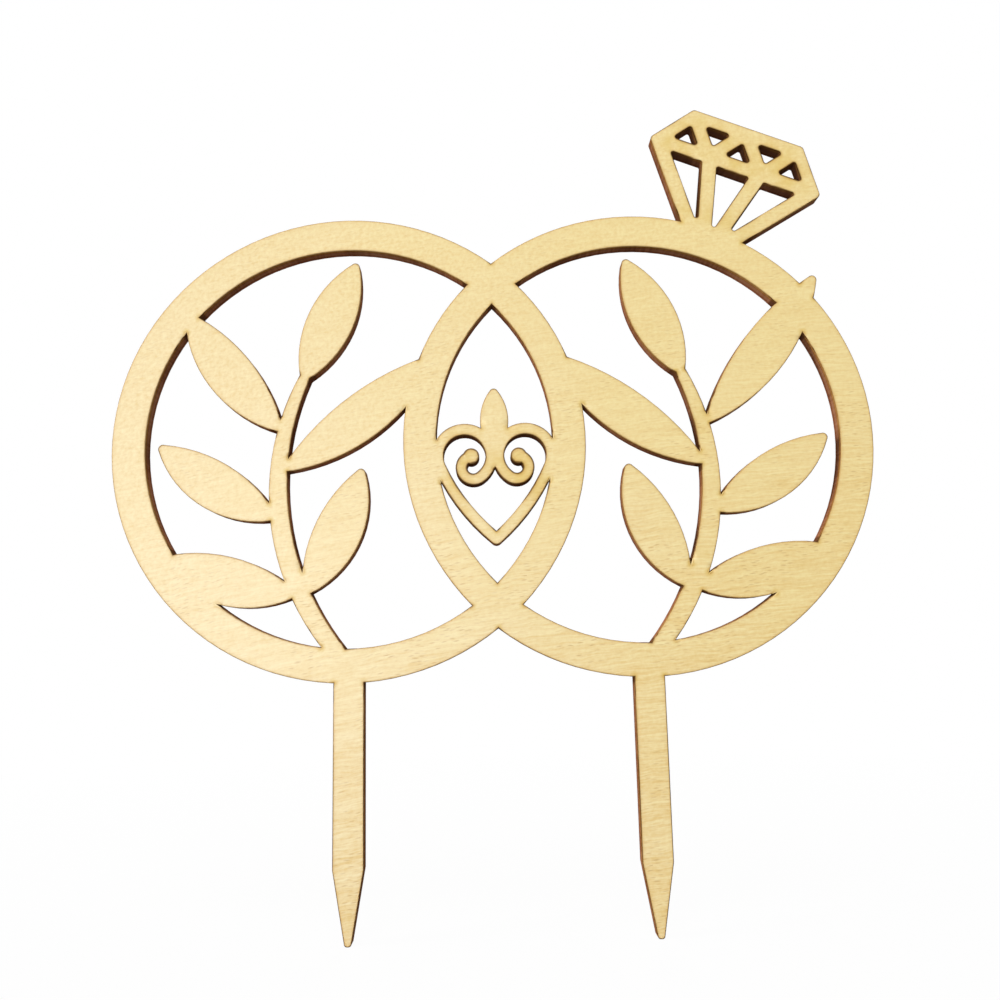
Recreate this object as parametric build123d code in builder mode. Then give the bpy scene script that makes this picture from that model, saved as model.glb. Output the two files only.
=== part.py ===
# Cake topper: two linked wedding rings and a diamond on two stakes, cut from one sheet of plywood.
# The front faces -Y, +X runs to the viewer's right and +Z is up. The origin is on the cake line:
# midway between the stakes, level with the underside of the rings, in the middle of the sheet.
from build123d import *
import os

os.makedirs("parts", exist_ok=True)

# Sheet: a core between two face veneers, with a cured glue line on each side of the core
face_thickness = 0.85
core_thickness = 1.1
glue_thickness = 0.1

# Rings, overlapping so that a lens-shaped gap stays open between them
ring_outer_radius = 46.5
ring_band = 6.5
lens_width = 23.0

# Stakes, one under the middle of each ring
stake_length = 46.9
stake_width = 5.8
stake_point_length = 13.3
stake_tip_width = 1.2
stake_tip_round_share = 0.45
stake_shoulder_radius = 1.5

# Diamond, standing on the right ring and leaning outwards with it
diamond_lean = 21.5
girdle_rise = 15.0
girdle_width = 37.35
table_width = 24.0
crown_height = 9.1
pavilion_depth = 24.1
diamond_corner_radius = 1.0

# Windows of the diamond: a row of small facets in the crown and three long ones in the pavilion
crown_sill = 1.7
crown_end_bar = 3.4
crown_window_width_share = 0.92
crown_window_height_share = 0.78
table_bar = 2.8
girdle_bar = 1.4
pavilion_bar = 3.3
pavilion_end_bar = 3.9
middle_window_foot = 2.8
side_window_foot = 3.3
side_window_foot_share = 0.46
window_corner_radius = 0.4

# Leafy branches, one inside each ring, growing from the ring's foot. Leaf places are shares of the
# stem, and each leaf runs on until it meets a ring or stops a gap short of it
stem_root_width = 4.4
stem_tip_width = 2.0
stem_belly_share = 0.53
stem_end_share = 0.48
stem_end_angle = 110.0
leaf_width = 9.4
leaf_skew_share = 0.2
leaf_spread = 50.0
leaf_tip_radius = 0.9
leaf_gap = 2.2
short_leaf_gap = 8.0
long_leaf_overhang = 4.5
end_leaf_place_share = 0.9
low_outer_leaf_place_share = 0.25
middle_outer_leaf_place_share = 0.48
top_outer_leaf_place_share = 0.74
low_inner_leaf_place_share = 0.24
top_inner_leaf_place_share = 0.62

# Scroll heart with a bud above it, held between the limbs of the rings
heart_stroke = 2.3
heart_overlap = 0.9
heart_dip_share = 0.3
heart_lobe_drop = 3.0
heart_tip_drop = 19.5
heart_side_angle = -24.0
heart_curl_angle = 235.0
heart_curl_turn = 205.0
heart_curl_share = 0.44
heart_ball_radius = 1.6
bud_length = 14.0
bud_width = 5.6

# The outline is drawn flat: x across the topper and y up it
ring_inner_radius = ring_outer_radius - ring_band
ring_mid_radius = ring_outer_radius - ring_band / 2
ring_x = ring_inner_radius - lens_width / 2
ring_y = ring_outer_radius

# Heights in the diamond, from the ring's centre along the diamond's own axis
girdle_height = ring_outer_radius + girdle_rise
table_height = girdle_height + crown_height
culet_height = girdle_height - pavilion_depth


# Ring: a flat hoop, the left one at side -1 and the right one at side 1
def ring(side):
    with BuildSketch(Plane((side * ring_x, ring_y))) as hoop:
        Circle(ring_outer_radius)
        Circle(ring_inner_radius, mode=Mode.SUBTRACT)
    return hoop.sketch


# Stake: a parallel shank that starts inside the ring's band and tapers to a blunt point
def stake(side):
    with BuildSketch(Plane((side * ring_x, 0))) as spike:
        with BuildLine():
            right_side = Polyline(
                (0, ring_band / 2),
                (stake_width / 2, ring_band / 2),
                (stake_width / 2, stake_point_length - stake_length),
                (stake_tip_width / 2, -stake_length),
                (0, -stake_length),
            )
            mirror(right_side, about=Plane.YZ)
        make_face()
        fillet(spike.vertices().group_by(Axis.Y)[0], stake_tip_width * stake_tip_round_share)
        fillet(spike.vertices().group_by(Axis.Y)[-2], stake_shoulder_radius)
    return spike.sketch


# Window: a triangular hole with slightly rounded corners
def window(*corners):
    with BuildSketch() as hole:
        with BuildLine():
            Polyline(*corners, close=True)
        make_face()
        fillet(hole.vertices(), window_corner_radius)
    return hole.sketch


# Crown windows: five triangles in a row, pointing up and down by turns
def crown_windows():
    sill = girdle_height + crown_sill
    lintel = table_height - table_bar
    height = (lintel - sill) * crown_window_height_share
    sill_width = girdle_width - (girdle_width - table_width) * crown_sill / crown_height
    pitch = (sill_width / 2 - crown_end_bar) / (2 + crown_window_width_share / 2)
    half_width = pitch * crown_window_width_share / 2
    windows = []
    for step in (-2, -1, 0, 1, 2):
        x = step * pitch
        base, rise = (sill, height) if step % 2 == 0 else (lintel, -height)
        windows.append(window((x - half_width, base), (x + half_width, base), (x, base + rise)))
    return windows


# Half the pavilion's width at a height above the ring's centre
def pavilion_half_width(height):
    return girdle_width / 2 * (height - culet_height) / pavilion_depth


# Pavilion windows: three long triangles that run down towards the ring
def pavilion_windows():
    lintel = girdle_height - girdle_bar
    row_half_width = pavilion_half_width(lintel) - pavilion_end_bar
    width = (2 * row_half_width - 2 * pavilion_bar) / 3
    middle_foot = ring_mid_radius + middle_window_foot
    side_foot = ring_mid_radius + side_window_foot
    side_foot_x = pavilion_half_width(side_foot) * side_window_foot_share
    windows = [window((-width / 2, lintel), (width / 2, lintel), (0, middle_foot))]
    for side in (-1, 1):
        windows.append(
            window(
                (side * (row_half_width - width), lintel),
                (side * row_half_width, lintel),
                (side * side_foot_x, side_foot),
            )
        )
    return windows


# Diamond: an openwork brilliant whose foot runs into the ring's band
def diamond():
    windows = crown_windows() + pavilion_windows()
    across = Vector(1, 0).rotate(Axis.Z, -diamond_lean)
    with BuildSketch(Plane((ring_x, ring_y), x_dir=across)) as stone:
        with BuildLine():
            right_side = Polyline(
                (0, ring_mid_radius),
                (pavilion_half_width(ring_mid_radius), ring_mid_radius),
                (girdle_width / 2, girdle_height),
                (table_width / 2, table_height),
                (0, table_height),
            )
            mirror(right_side, about=Plane.YZ)
        make_face()
        corners = stone.vertices().filter_by_position(Axis.Y, girdle_height, table_height)
        fillet(corners, diamond_corner_radius)
        for hole in windows:
            add(hole, mode=Mode.SUBTRACT)
    return stone.sketch


# Tip of a leaf: where its heading from its base first meets the curve that it ends on
def leaf_tip(base, heading, leaf_end):
    reach = Edge.make_line(base, base + heading * ring_outer_radius * 2)
    crossings = reach.find_intersection_points(leaf_end)
    return min(crossings, key=lambda crossing: (crossing - base).length)


# Branch for the left ring: a bowed, tapering stem with leaves on both sides and one at its end.
# The top leaf on the outer side ends at its own distance from the ring's centre
def branch(top_leaf_tip_radius):
    crescent_left = -ring_x - ring_inner_radius
    crescent_right = ring_x - ring_outer_radius
    root = Vector(-ring_x, -ring_mid_radius)
    belly = Vector(crescent_left + (crescent_right - crescent_left) * stem_belly_share, 0)
    end = Vector(ring_inner_radius * stem_end_share, 0).rotate(Axis.Z, stem_end_angle) - (ring_x, 0)
    root_side = Vector(stem_root_width / 2, 0)
    belly_side = Vector((stem_root_width + stem_tip_width) / 4, 0)
    end_side = Vector(stem_tip_width / 2, 0)
    spine = ThreePointArc(root, belly, end)
    own_ring = Plane((-ring_x, 0))
    other_ring = Plane((ring_x, 0))
    own_band = Edge.make_circle(ring_mid_radius, own_ring)
    other_band = Edge.make_circle(ring_mid_radius, other_ring)
    inside_own_ring = Edge.make_circle(ring_inner_radius - leaf_gap, own_ring)
    outside_other_ring = Edge.make_circle(ring_outer_radius + short_leaf_gap, other_ring)
    top_leaf_end = Edge.make_circle(top_leaf_tip_radius, own_ring)
    leaves = (
        (end_leaf_place_share, 0, inside_own_ring),
        (low_outer_leaf_place_share, 1, own_band),
        (middle_outer_leaf_place_share, 1, inside_own_ring),
        (top_outer_leaf_place_share, 1, top_leaf_end),
        (low_inner_leaf_place_share, -1, outside_other_ring),
        (top_inner_leaf_place_share, -1, other_band),
    )
    with BuildSketch(Plane((0, ring_y))) as spray:
        with BuildLine():
            outer = ThreePointArc(root - root_side, belly - belly_side, end - end_side)
            inner = ThreePointArc(root + root_side, belly + belly_side, end + end_side)
            Line(outer @ 0, inner @ 0)
            Line(outer @ 1, inner @ 1)
        make_face()
        for place, turn, leaf_end in leaves:
            base = spine @ place
            heading = (spine % place).rotate(Axis.Z, turn * leaf_spread)
            tip = leaf_tip(base, heading, leaf_end)
            with BuildLine():
                SagittaArc(base, tip, leaf_width * (1 + turn * leaf_skew_share) / 2)
                SagittaArc(base, tip, -leaf_width * (1 - turn * leaf_skew_share) / 2)
            make_face()
            fillet(spray.vertices().sort_by_distance(tip)[0], leaf_tip_radius)
    return spray.sketch


# Heart: one scrolled stroke on each side, joined at the tip and at the dip, where a bud rises
def heart():
    dip = heart_stroke * heart_dip_share
    lobe_radius = (lens_width / 2 + heart_overlap - heart_stroke / 2 - dip) / 2
    lobe_centre = Vector(dip + lobe_radius, -heart_lobe_drop)
    curl_radius = lobe_radius * heart_curl_share
    curl_centre = lobe_centre + Vector(lobe_radius - curl_radius, 0).rotate(Axis.Z, heart_curl_angle)
    tip = Vector(0, -heart_tip_drop)
    bud_foot = Vector(0, -heart_lobe_drop)
    bud_tip = bud_foot + (0, bud_length)
    with BuildSketch(Plane((0, ring_y))) as scroll:
        with BuildLine():
            lobe = CenterArc(lobe_centre, lobe_radius, heart_side_angle, heart_curl_angle - heart_side_angle)
            TangentArc(lobe @ 0, tip, tangent=-(lobe % 0))
            curl = CenterArc(curl_centre, curl_radius, heart_curl_angle, heart_curl_turn)
        trace(line_width=heart_stroke)
        with Locations(curl @ 1):
            Circle(heart_ball_radius)
        with Locations(tip):
            Circle(heart_stroke / 2)
        mirror(about=Plane.YZ)
        with BuildLine():
            SagittaArc(bud_foot, bud_tip, bud_width / 2)
            SagittaArc(bud_foot, bud_tip, -bud_width / 2)
        make_face()
        fillet(scroll.vertices().sort_by_distance(bud_tip)[0], leaf_tip_radius)
    return scroll.sketch


# Outline of the sheet: every motif runs into its neighbours, so it is one piece
left_branch = branch(ring_mid_radius)
right_branch = mirror(branch(ring_outer_radius + long_leaf_overhang), about=Plane.YZ)
motifs = [ring(-1), ring(1), stake(-1), stake(1), diamond(), left_branch, right_branch, heart()]
with BuildSketch() as outline:
    for motif in motifs:
        add(motif)

# Plies: each layer of the sheet has the whole outline, stacked from the back to the front
plies = (
    ("back_veneer", face_thickness),
    ("back_glue_line", glue_thickness),
    ("core_veneer", core_thickness),
    ("front_glue_line", glue_thickness),
    ("front_veneer", face_thickness),
)
depth = -sum(thickness for name, thickness in plies) / 2
for name, thickness in plies:
    with BuildPart() as ply:
        with BuildSketch(Plane.XZ.offset(depth)):
            add(outline.sketch)
        extrude(amount=thickness)
    ply.part.label = name
    export_step(ply.part, f"parts/{name}.step")
    depth += thickness
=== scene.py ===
# Cake topper of two linked rings, cut by laser from one sheet of three-ply birch plywood.
# Metres, in the frame of the solids: the front faces -Y, +X is to the viewer's right, +Z is up.
from math import ceil, radians

import bmesh
import bpy
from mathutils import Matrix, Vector
from mathutils.kdtree import KDTree


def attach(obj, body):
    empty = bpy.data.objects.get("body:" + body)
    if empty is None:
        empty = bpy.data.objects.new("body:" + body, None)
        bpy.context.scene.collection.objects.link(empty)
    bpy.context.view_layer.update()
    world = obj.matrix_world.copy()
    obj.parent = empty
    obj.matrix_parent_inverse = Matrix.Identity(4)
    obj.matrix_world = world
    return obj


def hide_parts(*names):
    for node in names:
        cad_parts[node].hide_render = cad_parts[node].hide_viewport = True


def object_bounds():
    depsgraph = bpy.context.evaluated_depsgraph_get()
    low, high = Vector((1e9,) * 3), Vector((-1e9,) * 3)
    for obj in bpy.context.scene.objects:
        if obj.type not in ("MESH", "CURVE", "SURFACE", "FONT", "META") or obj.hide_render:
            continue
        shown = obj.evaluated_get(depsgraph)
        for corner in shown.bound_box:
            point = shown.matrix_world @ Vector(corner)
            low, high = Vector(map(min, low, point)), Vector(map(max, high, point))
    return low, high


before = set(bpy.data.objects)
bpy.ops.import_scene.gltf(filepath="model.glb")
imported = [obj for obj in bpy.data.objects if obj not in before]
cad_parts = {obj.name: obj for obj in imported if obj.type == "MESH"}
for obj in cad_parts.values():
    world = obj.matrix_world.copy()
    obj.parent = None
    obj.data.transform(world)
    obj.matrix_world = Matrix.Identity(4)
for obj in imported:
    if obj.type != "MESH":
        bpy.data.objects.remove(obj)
cad_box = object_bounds()

# Core veneer
# The middle ply of the sheet, a birch veneer with its grain upright. Only its cut edge shows, and
# the laser has charred that to a red-brown. It darkens at inner corners and where cuts run close,
# partly with soot and partly with painted shade for those narrow recesses.
MM = 0.001
WELD = 0.001 * MM
FRONT, BACK = Vector((0, -1, 0)), Vector((0, 1, 0))
# By the depth part of its normal, a triangle belongs to the sheet's faces or to its cut edge.
FACING, UPRIGHT = 0.9, 0.1
SHARP_ANGLE, CORNER_ANGLE = radians(20), radians(30)
CUT_STEP = 0.25 * MM
HEAT_REACH = 4.0 * MM
CORNER_REACH = 2.0 * MM
CORNER_HEAT = 9.0
SCORCH_REACH = 1.2 * MM
# Edges are split until heat, and scorch in millimetres, are this near to even along each of them.
HEAT_FIT, SCORCH_FIT = 0.5, 0.15
REFINEMENTS = 5


def linear(hex_colour):
    """An sRGB hex colour as the linear RGBA that Blender's sockets take."""
    channels = [int(hex_colour[i : i + 2], 16) / 255 for i in (1, 3, 5)]
    return (*[c / 12.92 if c <= 0.04045 else ((c + 0.055) / 1.055) ** 2.4 for c in channels], 1.0)


def add(tree, kind, inputs=None, stops=(), **settings):
    """Adds a shader node. Inputs are values or sockets to link, stops are a ramp's: first, last and
    then those between. The rest are the node's properties."""
    node = tree.nodes.new("ShaderNode" + kind)
    for name, value in settings.items():
        setattr(node, name, value)
    for i, (position, colour) in enumerate(stops):
        element = node.color_ramp.elements[i] if i < 2 else node.color_ramp.elements.new(position)
        element.position = position
        element.color = colour
    for socket, value in (inputs or {}).items():
        if isinstance(value, bpy.types.NodeSocket):
            tree.links.new(value, node.inputs[socket])
        else:
            node.inputs[socket].default_value = value
    return node


def charred_edge(name, dark, middle, pale):
    """Laser-cut edge of wood: dull, without any shine, brown with darker streaks along the beam."""
    # Sizes in millimetres.
    streak_spacing, streak_length, streak_depth, patch_size = 0.6, 7.0, 0.05, 9.0
    streak_share, streak_relief = 0.4, 0.6
    soot_shade_from, soot_shade_to, soot_shade_most, soot_and_shade_colour = 3.0, 4.6, 0.65, linear("#40241A")
    browns = ((0.36, linear(dark)), (0.66, linear(pale)), (0.5, linear(middle)))
    material = bpy.data.materials.new(name)
    material.use_nodes = True
    tree = material.node_tree
    shader = tree.nodes["Principled BSDF"]

    place = add(tree, "TexCoord").outputs["Object"]
    across_beam, along_beam = 1 / (streak_spacing * MM), 1 / (streak_length * MM)
    beam_scale = (across_beam, along_beam, across_beam)
    beam_place = add(tree, "Mapping", {"Vector": place, "Scale": beam_scale}).outputs[0]
    streaks = add(tree, "TexNoise", {"Vector": beam_place, "Scale": 1.0, "Detail": 3.0}).outputs[0]
    patch_scale = 1 / (patch_size * MM)
    patches = add(tree, "TexNoise",
                  {"Vector": place, "Scale": patch_scale, "Detail": 2.0}).outputs[0]
    char = add(tree, "Mix", {0: streak_share, 2: patches, 3: streaks}).outputs[0]
    brown = add(tree, "ValToRGB", {"Fac": char}, stops=browns).outputs["Color"]

    # Darker where the beam was hot: partly real soot, partly painted shade in tight recesses.
    heat = add(tree, "Attribute", attribute_name="beam_heat").outputs["Fac"]
    soot_and_shade = add(tree, "MapRange", {0: heat, 1: soot_shade_from, 2: soot_shade_to, 4: soot_shade_most}).outputs[0]
    sooted_and_shaded = add(tree, "Mix", {0: soot_and_shade, 6: brown, 7: soot_and_shade_colour}, data_type="RGBA").outputs[2]
    bump = add(tree, "Bump", {
        "Height": streaks, "Distance": streak_depth * MM, "Strength": streak_relief})
    tree.links.new(sooted_and_shaded, shader.inputs["Base Color"])
    tree.links.new(bump.outputs["Normal"], shader.inputs["Normal"])
    shader.inputs["Roughness"].default_value = 0.9
    shader.inputs["Specular IOR Level"].default_value = 0.0
    return material


def merged(node):
    """The solid's own mesh as one connected shape."""
    shape = bmesh.new()
    shape.from_mesh(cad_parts[node].data)
    bmesh.ops.remove_doubles(shape, verts=shape.verts, dist=WELD)
    return shape


def on_wall(part):
    """Whether an edge or a point lies on the sheet's cut edge, which is square to its faces."""
    return any(abs(f.normal.y) < UPRIGHT for f in part.link_faces)


def searchable(points):
    """A search tree of points as they lie in the sheet, whatever their depth."""
    tree = KDTree(len(points))
    for i, point in enumerate(points):
        tree.insert((point.x, 0, point.z), i)
    tree.balance()
    return tree


def place_piece(name, shape, node, slot, *materials):
    """Makes a shape a piece that stands for a solid, with these materials, on the only body."""
    mesh = bpy.data.meshes.new(name)
    shape.to_mesh(mesh)
    shape.free()
    mesh.set_sharp_from_angle(angle=SHARP_ANGLE)
    for material in materials:
        mesh.materials.append(material)
    piece = bpy.data.objects.new(name, mesh)
    bpy.context.scene.collection.objects.link(piece)
    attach(piece, "root")
    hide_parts(node)


# Every ply has the same outline, so points along the core's serve for all of them. The beam slows
# down to turn, so the wood at inner corners gets more of it.
outline = merged("core_veneer")
cut, corners = [], []
for edge in outline.edges:
    start, end = (v.co for v in edge.verts)
    if on_wall(edge) and any(f.normal.dot(FRONT) > FACING for f in edge.link_faces):
        steps = ceil(edge.calc_length() / CUT_STEP)
        cut.extend(start.lerp(end, (i + 0.5) / steps) for i in range(steps))
    upright = all(abs(f.normal.y) < UPRIGHT for f in edge.link_faces)
    if upright and not edge.is_convex and edge.calc_face_angle(0) > CORNER_ANGLE:
        corners.append(start)
cut_points = searchable(cut)
corner_points = searchable(corners)
outline.free()


def heat_at(point):
    """The beam's heat at a point: the length of cut in reach over that reach, which is 2 at a plain
    edge, or what lingers round an inner corner where that is more."""
    flat = (point.x, 0, point.z)
    crowding = len(cut_points.find_range(flat, HEAT_REACH)) * CUT_STEP / HEAT_REACH
    lingering = CORNER_HEAT * (1 - corner_points.find(flat)[2] / CORNER_REACH)
    return max(crowding, lingering)


def scorch_at(point):
    """Distance in millimetres to the nearest cut, as far as scorching reaches."""
    return min(cut_points.find((point.x, 0, point.z))[2], SCORCH_REACH) / MM


def runs_straight(edge):
    """Whether scorch and heat change evenly along an edge, so that its ends can carry them."""
    start, end = (v.co for v in edge.verts)
    middle = start.lerp(end, 0.5)
    scorch_bend = scorch_at(start) + scorch_at(end) - 2 * scorch_at(middle)
    heat_bend = heat_at(start) + heat_at(end) - 2 * heat_at(middle)
    return abs(scorch_bend) < 2 * SCORCH_FIT and abs(heat_bend) < 2 * HEAT_FIT


def refined(node):
    """The solid's own mesh with more points along the cuts where the heat changes on the way."""
    shape = merged(node)
    walls = {f for f in shape.faces if abs(f.normal.y) < UPRIGHT}
    inside = [e for e in shape.edges if walls.issuperset(e.link_faces)]
    slanting = [e for e in inside if (e.verts[1].co - e.verts[0].co).cross(BACK).length > WELD]
    bmesh.ops.dissolve_edges(shape, edges=slanting)
    for _ in range(REFINEMENTS):
        rims = [e for e in shape.edges
                if on_wall(e) and any(abs(f.normal.y) > FACING for f in e.link_faces)]
        uneven = [e for e in rims if not runs_straight(e)]
        bmesh.ops.subdivide_edges(shape, edges=uneven, cuts=1)
    bmesh.ops.triangulate(shape, faces=[f for f in shape.faces if abs(f.normal.y) > FACING])
    return shape


def note_beam(shape):
    """Keeps what the beam has done on the points of a ply: distance from the cut, and heat."""
    cut_distance = shape.verts.layers.float.new("cut_distance")
    beam_heat = shape.verts.layers.float.new("beam_heat")
    for vert in shape.verts:
        vert[cut_distance], vert[beam_heat] = scorch_at(vert.co), heat_at(vert.co)


core = refined("core_veneer")
note_beam(core)
core_edge = charred_edge("charred_core_edge", "#8A573B", "#AB7351", "#BE8763")
place_piece("core_birch_veneer", core, "core_veneer", "core_veneer", core_edge)

# Glue lines
# Films of cured glue, one on each side of the core, which bond it to the faces. At the cut edge
# they have burnt darker than the wood and read as two thin lines.
glue_edge = charred_edge("charred_glue_line", "#5A3522", "#74462D", "#8A5839")
for node in ("front_glue_line", "back_glue_line"):
    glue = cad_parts[node]
    glue.data.materials.clear()
    glue.data.materials.append(glue_edge)

# Face veneers
# The outer plies: rotary-cut birch, sanded and left bare, glued on with the grain nearly level. The
# beam has eased and scorched the rim of every cut, and toasted the wood where cuts lie close.
RIM_WIDTH = 0.16 * MM
RIM_DROP = 0.1 * MM
# By how far a triangle looks outwards, it is flat, or at least sanded wood and not the cut edge.
FLAT, SANDED = 0.99, 0.5


def birch_face():
    """Sanded birch: cream to straw, softly clouded, with faint fibres and short pores along it."""
    material = bpy.data.materials.new("sanded_birch_veneer")
    material.use_nodes = True
    tree = material.node_tree
    shader = tree.nodes["Principled BSDF"]

    # All sizes here are in millimetres, along the grain and across it. Real pores are under 0.1 mm
    # wide, so the pores, the fibres and the hairlines are drawn coarse enough to show.

    # Grain coordinates run along the grain, across it and into the sheet. The grain rises to the
    # right, less and less on the way, and wavers. The two faces are cut from different veneers, so
    # the figure shifts with depth.
    depth_shift, grain_slope, slope_change = 60.0, -0.13, 0.00055
    waver_size, waver_height = 5.0, 1.0
    place = add(tree, "TexCoord").outputs["Object"]
    sheet = add(tree, "Mapping", {"Vector": place, "Scale": (1 / MM, 1 / MM, 1 / MM)}).outputs[0]
    x, y, z = add(tree, "SeparateXYZ", {0: sheet}).outputs
    along = add(tree, "Math", {0: y, 1: depth_shift, 2: x}, operation="MULTIPLY_ADD").outputs[0]
    slope = add(tree, "Math", {0: x, 1: slope_change, 2: grain_slope},
                operation="MULTIPLY_ADD").outputs[0]
    level = add(tree, "Math", {0: slope, 1: x, 2: z}, operation="MULTIPLY_ADD").outputs[0]
    waver = add(tree, "TexNoise",
                {"Vector": sheet, "Scale": 1 / waver_size, "Detail": 1.0}).outputs[0]
    across = add(tree, "Math", {0: waver, 1: waver_height, 2: level},
                 operation="MULTIPLY_ADD").outputs[0]
    grain = add(tree, "CombineXYZ", {0: along, 1: across, 2: y}).outputs[0]

    # The colour runs creamier towards the lower left, more golden towards the upper right, and is
    # clouded all over.
    drift_tilt, drift_from, drift_to = 0.45, -45.0, 60.0
    cloud_size, cloud_share = 26.0, 0.4
    woods = ((0.2, linear("#F8E6B8")), (0.8, linear("#F4E1A4")))
    diagonal = add(tree, "Math", {0: z, 1: drift_tilt, 2: x}, operation="MULTIPLY_ADD").outputs[0]
    drift = add(tree, "MapRange", {0: diagonal, 1: drift_from, 2: drift_to}).outputs[0]
    clouds = add(tree, "TexNoise",
                 {"Vector": grain, "Scale": 1 / cloud_size, "Detail": 2.0}).outputs[0]
    cloudy = add(tree, "Mix", {0: cloud_share, 2: drift, 3: clouds}).outputs[0]
    wood = add(tree, "ValToRGB", {"Fac": cloudy}, stops=woods).outputs["Color"]

    # The figure is a plain mottle at the upper left and grows streaky towards the lower right,
    # where it is also deeper.
    figure_tilt, figure_from, figure_to, figure_least, figure_most = -0.5, 85.0, 15.0, 0.25, 0.66
    depth_from, depth_to, depth_least, depth_most = 25.0, -15.0, 0.6, 0.82
    mottle_size, plain_least, plain_most = 0.8, 0.2, 0.8
    band_length, band_width = 45.0, 2.6
    fibre_length, fibre_width, fibre_share = 5.0, 0.4, 0.75
    pale_tone, deep_tone, deep_wood = 0.62, 0.38, linear("#E3C075")
    height = add(tree, "Math", {0: x, 1: figure_tilt, 2: z}, operation="MULTIPLY_ADD").outputs[0]
    figure = add(tree, "MapRange", {
        0: height, 1: figure_from, 2: figure_to, 3: figure_least, 4: figure_most}).outputs[0]
    band_scale = (1 / band_length, 1 / band_width, 1)
    band_place = add(tree, "Mapping", {"Vector": grain, "Scale": band_scale}).outputs[0]
    bands = add(tree, "TexNoise", {"Vector": band_place, "Scale": 1.0, "Detail": 2.0}).outputs[0]
    fibre_scale = (1 / fibre_length, 1 / fibre_width, 1)
    fibre_place = add(tree, "Mapping", {"Vector": grain, "Scale": fibre_scale}).outputs[0]
    fibres = add(tree, "TexNoise", {
        "Vector": fibre_place, "Scale": 1.0, "Detail": 2.0, "Roughness": 0.65}).outputs[0]
    streaky = add(tree, "Mix", {0: fibre_share, 2: bands, 3: fibres}).outputs[0]
    mottle = add(tree, "TexNoise", {
        "Vector": grain, "Scale": 1 / mottle_size, "Detail": 2.0, "Roughness": 0.6}).outputs[0]
    plain = add(tree, "MapRange", {0: mottle, 3: plain_least, 4: plain_most}).outputs[0]
    tone = add(tree, "Mix", {0: figure, 2: plain, 3: streaky}).outputs[0]
    depth = add(tree, "MapRange", {
        0: height, 1: depth_from, 2: depth_to, 3: depth_least, 4: depth_most}).outputs[0]
    shade = add(tree, "MapRange", {0: tone, 1: pale_tone, 2: deep_tone, 4: depth}).outputs[0]
    toned = add(tree, "Mix", {0: shade, 6: wood, 7: deep_wood}, data_type="RGBA").outputs[2]

    # Short brown pores lie along the grain, thicker in some patches. Their cells are turned, so
    # that they don't stand in columns.
    pore_spacing, pore_row, pore_turn, pore_patch = 2.2, 0.42, radians(35), 12.0
    pore_middle, pore_edge, pore_most = 0.1, 0.35, 0.75
    pore_lot_from, pore_lot_to = 0.35, 0.9
    patch_from, patch_to, patch_least = 0.38, 0.62, 0.15
    pore_place = add(tree, "Mapping", {
        "Vector": grain, "Scale": (1 / pore_spacing, 1 / pore_row, 1),
        "Rotation": (0, 0, pore_turn)}).outputs[0]
    pore_cells = add(tree, "TexVoronoi", {"Vector": pore_place, "Scale": 1.0},
                     voronoi_dimensions="2D").outputs
    pore_dots = add(tree, "MapRange", {
        0: pore_cells["Distance"], 1: pore_middle, 2: pore_edge, 3: pore_most, 4: 0.0}).outputs[0]
    pore_lot = add(tree, "SeparateXYZ", {0: pore_cells["Color"]}).outputs[0]
    pore_depth = add(tree, "MapRange", {0: pore_lot, 1: pore_lot_from, 2: pore_lot_to}).outputs[0]
    pore_patches = add(tree, "TexNoise",
                       {"Vector": grain, "Scale": 1 / pore_patch, "Detail": 1.0}).outputs[0]
    pore_crowd = add(tree, "MapRange", {
        0: pore_patches, 1: patch_from, 2: patch_to, 3: patch_least, 4: 1.0}).outputs[0]
    pore_share = add(tree, "Math", {0: pore_depth, 1: pore_crowd}, operation="MULTIPLY").outputs[0]
    pore_shown = add(tree, "Math", {0: pore_share, 1: figure}, operation="MULTIPLY").outputs[0]
    pores = add(tree, "Math", {0: pore_dots, 1: pore_shown}, operation="MULTIPLY").outputs[0]

    # A few broken hairlines run along the grain on the right.
    line_length, line_spacing, line_middle, line_edge = 60.0, 1.0, 0.04, 0.14
    line_lot_from, line_lot_to = 0.87, 0.92
    break_from, break_to, break_least, break_most = 0.3, 0.6, 0.1, 0.7
    side_from, side_to = 35.0, 65.0
    line_scale = (1 / line_length, 1 / line_spacing, 1)
    line_place = add(tree, "Mapping", {"Vector": grain, "Scale": line_scale}).outputs[0]
    line_cells = add(tree, "TexVoronoi", {"Vector": line_place, "Scale": 1.0},
                     voronoi_dimensions="2D").outputs
    line_core = add(tree, "MapRange", {
        0: line_cells["Distance"], 1: line_middle, 2: line_edge, 3: 1.0, 4: 0.0}).outputs[0]
    line_lot = add(tree, "SeparateXYZ", {0: line_cells["Color"]}).outputs[0]
    line_drawn = add(tree, "MapRange", {0: line_lot, 1: line_lot_from, 2: line_lot_to}).outputs[0]
    line_few = add(tree, "Math", {0: line_core, 1: line_drawn}, operation="MULTIPLY").outputs[0]
    line_breaks = add(tree, "MapRange", {
        0: mottle, 1: break_from, 2: break_to, 3: break_least, 4: break_most}).outputs[0]
    line_side = add(tree, "MapRange", {0: x, 1: side_from, 2: side_to}).outputs[0]
    line_shown = add(tree, "Math", {0: line_breaks, 1: line_side}, operation="MULTIPLY").outputs[0]
    lines = add(tree, "Math", {0: line_few, 1: line_shown}, operation="MULTIPLY").outputs[0]
    mark_colour = linear("#BD8B42")
    marks = add(tree, "Math", {0: pores, 1: lines}, operation="MAXIMUM").outputs[0]
    marked = add(tree, "Mix", {0: marks, 6: toned, 7: mark_colour}, data_type="RGBA").outputs[2]

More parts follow.
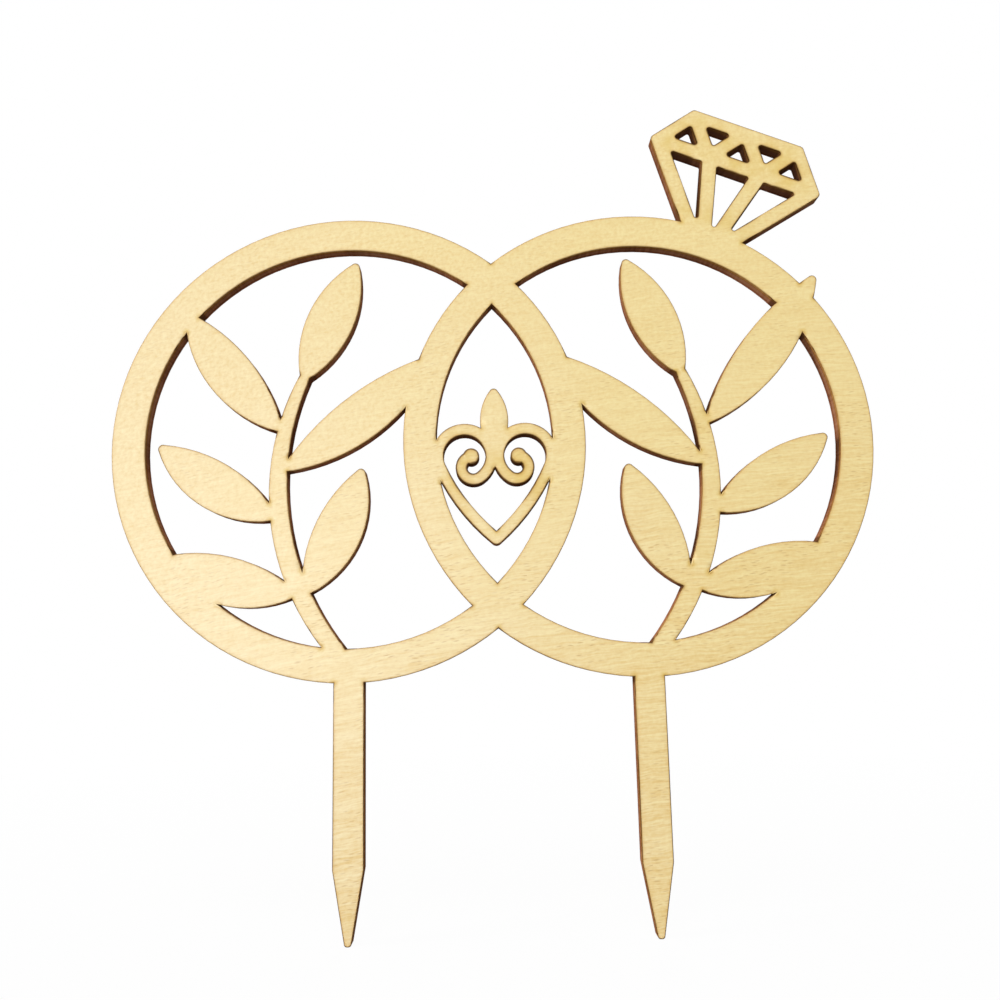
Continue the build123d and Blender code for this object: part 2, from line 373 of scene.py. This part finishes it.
    # At inner corners and where cuts crowd together the wood is toasted golden in patches.
    baking_from, baking_to, toast_patch, toast_colour = 4.0, 8.0, 5.0, linear("#DEBC50")
    smoke_from, smoke_to, smoke_least, smoke_most = 0.32, 0.68, 0.15, 0.8
    heat = add(tree, "Attribute", attribute_name="beam_heat").outputs["Fac"]
    baking = add(tree, "MapRange", {0: heat, 1: baking_from, 2: baking_to}).outputs[0]
    smoke = add(tree, "TexNoise",
                {"Vector": grain, "Scale": 1 / toast_patch, "Detail": 2.0}).outputs[0]
    smoky = add(tree, "MapRange", {
        0: smoke, 1: smoke_from, 2: smoke_to, 3: smoke_least, 4: smoke_most}).outputs[0]
    toast = add(tree, "Math", {0: baking, 1: smoky}, operation="MULTIPLY").outputs[0]
    toasted = add(tree, "Mix", {0: toast, 6: marked, 7: toast_colour}, data_type="RGBA").outputs[2]

    # From the cut inwards the rim goes from char to brown and gold and fades out, by millimetres,
    # and it reaches further in at inner corners and where cuts crowd together.
    furthest_burn = 2.2
    char, brown, gold = (linear(colour)[:3] for colour in ("#40270F", "#74461A", "#C78E30"))
    burns = (
        (0.0, (*char, 1.0)),
        (1.0, (*gold, 0.0)),
        (0.06, (*char, 1.0)),
        (0.13, (*brown, 0.8)),
        (0.23, (*gold, 0.3)),
        (0.45, (*gold, 0.06)),
    )
    cut_distance = add(tree, "Attribute", attribute_name="cut_distance").outputs["Fac"]
    burn_reach = add(tree, "MapRange", {0: baking, 3: 1.0, 4: furthest_burn}).outputs[0]
    burn_distance = add(tree, "Math", {0: cut_distance, 1: burn_reach},
                        operation="DIVIDE").outputs[0]
    scorch = add(tree, "ValToRGB", {"Fac": burn_distance}, stops=burns).outputs
    scorched = add(tree, "Mix", {0: scorch["Alpha"], 6: toasted, 7: scorch["Color"]},
                   data_type="RGBA").outputs[2]
    tree.links.new(scorched, shader.inputs["Base Color"])

    # Sanded wood has a soft sheen, except where it is charred, and keeps a trace of its fibres.
    sheen, fibre_depth, fibre_relief = 0.5, 0.02, 0.4
    shine = add(tree, "MapRange", {0: scorch["Alpha"], 3: sheen, 4: 0.0}).outputs[0]
    tree.links.new(shine, shader.inputs["Specular IOR Level"])
    bump = add(tree, "Bump", {
        "Height": fibres, "Distance": fibre_depth * MM, "Strength": fibre_relief})
    tree.links.new(bump.outputs["Normal"], shader.inputs["Normal"])
    shader.inputs["Roughness"].default_value = 0.43
    shader.inputs["IOR"].default_value = 1.5
    return material


def face_veneer(name, node, outward, *materials):
    """A face ply: the solid with its outer rim eased, and what the beam has done on its points."""
    shape = refined(node)
    face = [f for f in shape.faces if f.normal.dot(outward) > FACING]
    bmesh.ops.inset_region(shape, faces=face, use_boundary=True, use_even_offset=True,
                           thickness=RIM_WIDTH)
    rim = [v for v in shape.verts
           if on_wall(v) and any(f.normal.dot(outward) > FACING for f in v.link_faces)]
    bmesh.ops.translate(shape, verts=rim, vec=outward * -RIM_DROP)
    shape.normal_update()
    for _ in range(REFINEMENTS):
        flat = [e for e in shape.edges if all(f.normal.dot(outward) > FLAT for f in e.link_faces)]
        uneven = [e for e in flat if not runs_straight(e)]
        bmesh.ops.subdivide_edges(shape, edges=uneven, cuts=1)
        split = [f for f in shape.faces if f.normal.dot(outward) > FLAT]
        bmesh.ops.triangulate(shape, faces=split)
    note_beam(shape)
    for f in shape.faces:
        f.material_index = 0 if f.normal.dot(outward) > SANDED else 1
        f.smooth = f.material_index == 1
    place_piece(name, shape, node, "face_veneer", *materials)


face_wood = birch_face()
front_edge = charred_edge("toasted_front_edge", "#98652F", "#B07A3F", "#C28D50")
back_edge = charred_edge("charred_back_edge", "#804C31", "#9C5F40", "#AE7250")
face_veneer("front_birch_veneer", "front_veneer", FRONT, face_wood, front_edge)
face_veneer("back_birch_veneer", "back_veneer", BACK, face_wood, back_edge)

# Floor and backdrop
# A white studio floor under the points of the stakes, and white all round, as in a catalogue.
# The camera sees both as white, while the wood gets only a plain level of light back from them.
FLOOR_SIZE = 6.0
FADE_RADIUS = 0.35
NEAR_WHITENESS = 0.96
FILL_LIGHT = 0.12
floor_shape = bmesh.new()
bmesh.ops.create_grid(floor_shape, x_segments=1, y_segments=1, size=FLOOR_SIZE / 2)
bmesh.ops.translate(floor_shape, verts=floor_shape.verts, vec=(0, 0, cad_box[0][2]))
floor_mesh = bpy.data.meshes.new("studio_floor")
floor_shape.to_mesh(floor_mesh)
floor_shape.free()
floor = bpy.data.objects.new("studio_floor", floor_mesh)
bpy.context.scene.collection.objects.link(floor)


def sees_backdrop(tree):
    """1 for rays that show the backdrop itself: the camera's, mirrored ones and through glass."""
    path = add(tree, "LightPath").outputs
    seen = add(tree, "Math", {0: path["Is Camera Ray"], 1: path["Is Glossy Ray"]},
               operation="MAXIMUM").outputs[0]
    return add(tree, "Math", {0: seen, 1: path["Is Transmission Ray"]},
               operation="MAXIMUM").outputs[0]


# Matt white paint, nearly white by itself near the stakes, where it still takes a faint shadow.
floor_paint = bpy.data.materials.new("white_studio_paint")
floor_paint.use_nodes = True
tree = floor_paint.node_tree
tree.nodes.remove(tree.nodes["Principled BSDF"])
matt = add(tree, "BsdfDiffuse", {"Color": linear("#949494")}).outputs[0]
bright = add(tree, "BsdfDiffuse", {"Color": linear("#F4F4F4")}).outputs[0]
white = add(tree, "Emission", {"Color": linear("#FFFFFF"), "Strength": 1.0}).outputs[0]
floor_place = add(tree, "TexCoord").outputs["Object"]
near_scale = (1 / FADE_RADIUS,) * 3
near_place = add(tree, "Mapping", {"Vector": floor_place, "Scale": near_scale}).outputs[0]
near = add(tree, "TexGradient", {"Vector": near_place}, gradient_type="SPHERICAL").outputs["Fac"]
whiteness = add(tree, "MapRange", {0: near, 3: 1.0, 4: NEAR_WHITENESS}).outputs[0]
lifted = add(tree, "MixShader", {0: whiteness, 1: bright, 2: white}).outputs[0]
shown = add(tree, "MixShader", {0: sees_backdrop(tree), 1: matt, 2: lifted}).outputs[0]
tree.links.new(shown, tree.nodes["Material Output"].inputs["Surface"])
floor_mesh.materials.append(floor_paint)

world = bpy.data.worlds.new("white_studio")
world.use_nodes = True
bpy.context.scene.world = world
tree = world.node_tree
world_light = add(tree, "MapRange", {0: sees_backdrop(tree), 3: FILL_LIGHT, 4: 1.0}).outputs[0]
tree.links.new(world_light, tree.nodes["Background"].inputs["Strength"])
tree.nodes["Background"].inputs["Color"].default_value = linear("#FFFFFF")

# Lamps
# A soft box in front, left of the camera, gives the left ring its sheen. One further to the left
# picks out the left-hand edges, and a weak one overhead fills in the edges that look up. One behind
# lights the back and leaves the edges alone.
MIDDLE = Vector((0, 0, 0.035))


def soft_box(name, place, size, power):
    """A square lamp aimed at the middle of the rings, hidden from the camera: metres, watts."""
    lamp = bpy.data.lights.new(name, "AREA")
    lamp.size = size
    lamp.energy = power
    lamp_object = bpy.data.objects.new(name, lamp)
    lamp_object.location = place
    lamp_object.rotation_euler = (MIDDLE - Vector(place)).to_track_quat("-Z", "Y").to_euler()
    lamp_object.visible_camera = False
    bpy.context.scene.collection.objects.link(lamp_object)


soft_box("front_soft_box", place=(-0.62, -2.27, 0.03), size=0.6, power=43.7)
soft_box("side_soft_box", place=(-2.2, -0.6, 0.75), size=0.7, power=31.0)
soft_box("overhead_soft_box", place=(-0.1, -0.7, 1.2), size=0.6, power=6.8)
soft_box("back_soft_box", place=(0.1, 1.3, 0.2), size=0.4, power=14.5)

# Camera
# A near, slightly wide view from just above the cake line, tilted up a little at the rings.
camera_data = bpy.data.cameras.new("camera")
camera_data.lens = 33.82
camera_data.sensor_width = 36.0
camera_data.clip_start = 0.01
camera = bpy.data.objects.new("camera", camera_data)
camera.location = Vector((-1.863, -182.376, 5.479)) * MM
camera.rotation_euler = (radians(99.126), radians(1.227), radians(-0.651))
bpy.context.scene.collection.objects.link(camera)
bpy.context.scene.camera = camera
bpy.context.scene.view_settings.view_transform = "Standard"
